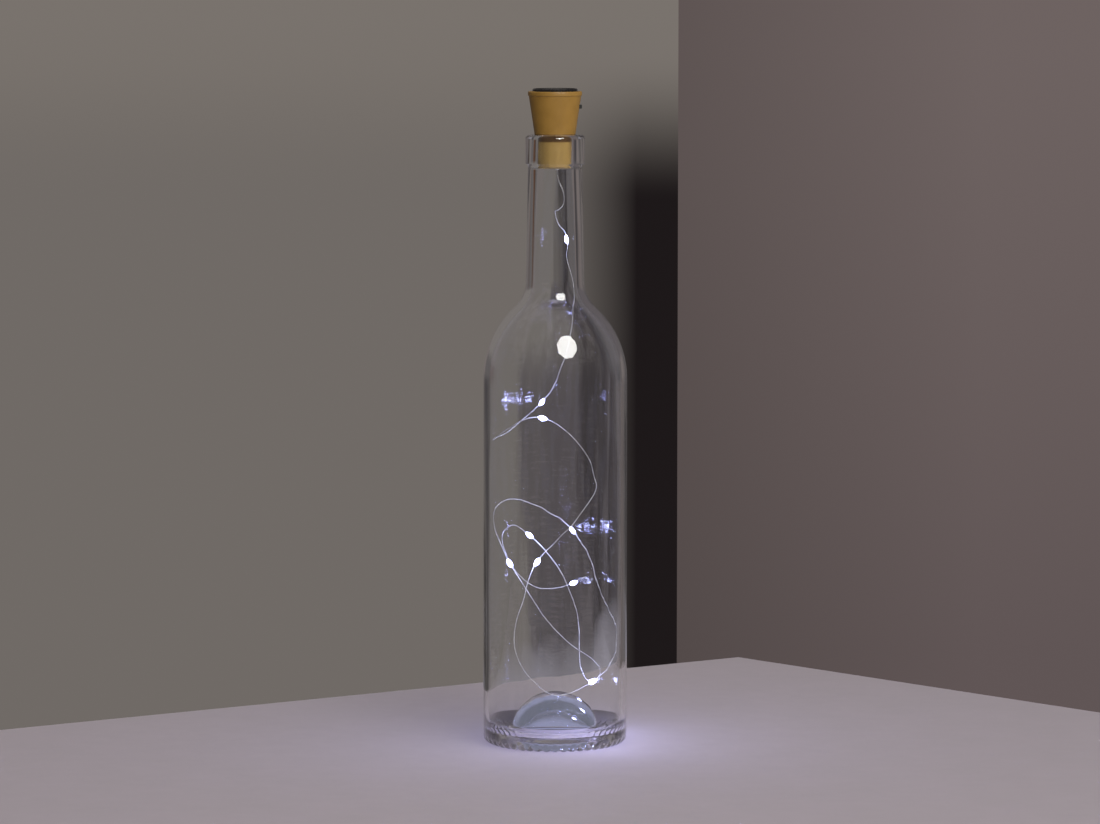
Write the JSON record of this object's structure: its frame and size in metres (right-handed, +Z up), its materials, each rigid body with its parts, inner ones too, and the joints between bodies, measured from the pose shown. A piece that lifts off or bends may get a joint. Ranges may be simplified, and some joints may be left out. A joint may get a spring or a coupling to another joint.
{
  "type": "cork bottle light",
  "caption": "Clear wine bottle lit by a string of tiny lights on silver wire, hung from a tapered cork-coloured solar stopper with a side switch.",
  "frame": {"origin": "centre of the bottle's base on the surface it stands on", "axes": "+Z up the bottle's axis, +X towards the stopper's switch"},
  "size_m": [0.074, 0.074, 0.3364],
  "materials": {
    "bottle_glass": "clear, smooth, faintly wavy",
    "cork_plastic": "moulded, satin",
    "black_plastic": "moulded, glossy",
    "panel_laminate": "laminate",
    "solar_silicon": "dark blue, smooth",
    "silver_print": "printed silver",
    "clear_resin": "clear poured resin",
    "red_insulation": "soft insulation",
    "black_insulation": "soft insulation",
    "board_laminate": "green solder mask",
    "chip_black": "moulded",
    "inductor_green": "lacquered",
    "capacitor_sleeve": "shrink sleeve",
    "switch_steel": "tinned",
    "tinned_metal": "tinned",
    "switch_plastic": "moulded",
    "battery_steel": "nickel plated",
    "battery_wrap": "shrink film",
    "nickel_strip": "rolled",
    "silver_wire": "bright, enamelled",
    "white_glue": "hot glue",
    "light_chip": "lit, cold white",
    "light_resin": "clear drop, lit from inside"
  },
  "bodies": {
    "bottle": {"glass_bottle": "bottle_glass"},
    "stopper": {"cork_shell": "cork_plastic", "panel_frame": "black_plastic", "panel_board": "panel_laminate", "solar_cells": "solar_silicon", "cell_busbars": "silver_print", "panel_lens": "clear_resin", "panel_lead_red": "red_insulation", "panel_lead_black": "black_insulation", "circuit_board": "board_laminate", "controller_chip": "chip_black", "boost_inductor": "inductor_green", "chip_resistors": "chip_black", "board_capacitor": "capacitor_sleeve", "switch_body": "switch_steel", "switch_pins": "tinned_metal", "battery_cell": "battery_steel", "battery_sleeve": "battery_wrap", "battery_tab_top": "nickel_strip", "battery_tab_bottom": "nickel_strip", "string_leads": "silver_wire", "exit_seal": "white_glue", "string_wire": "silver_wire", "led_chips": "light_chip", "led_drops": "light_resin"},
    "slider": {"switch_slider": "switch_plastic"}
  },
  "joints": [
    {"name": "stopper_lift", "type": "slide", "parent": "bottle", "child": "stopper", "axis": [0, 0, 1], "range_m": [0, 0.03]},
    {"name": "switch_slide", "type": "slide", "parent": "stopper", "child": "slider", "axis": [0, 1, 0], "range_m": [0, 0.002]}
  ]
}
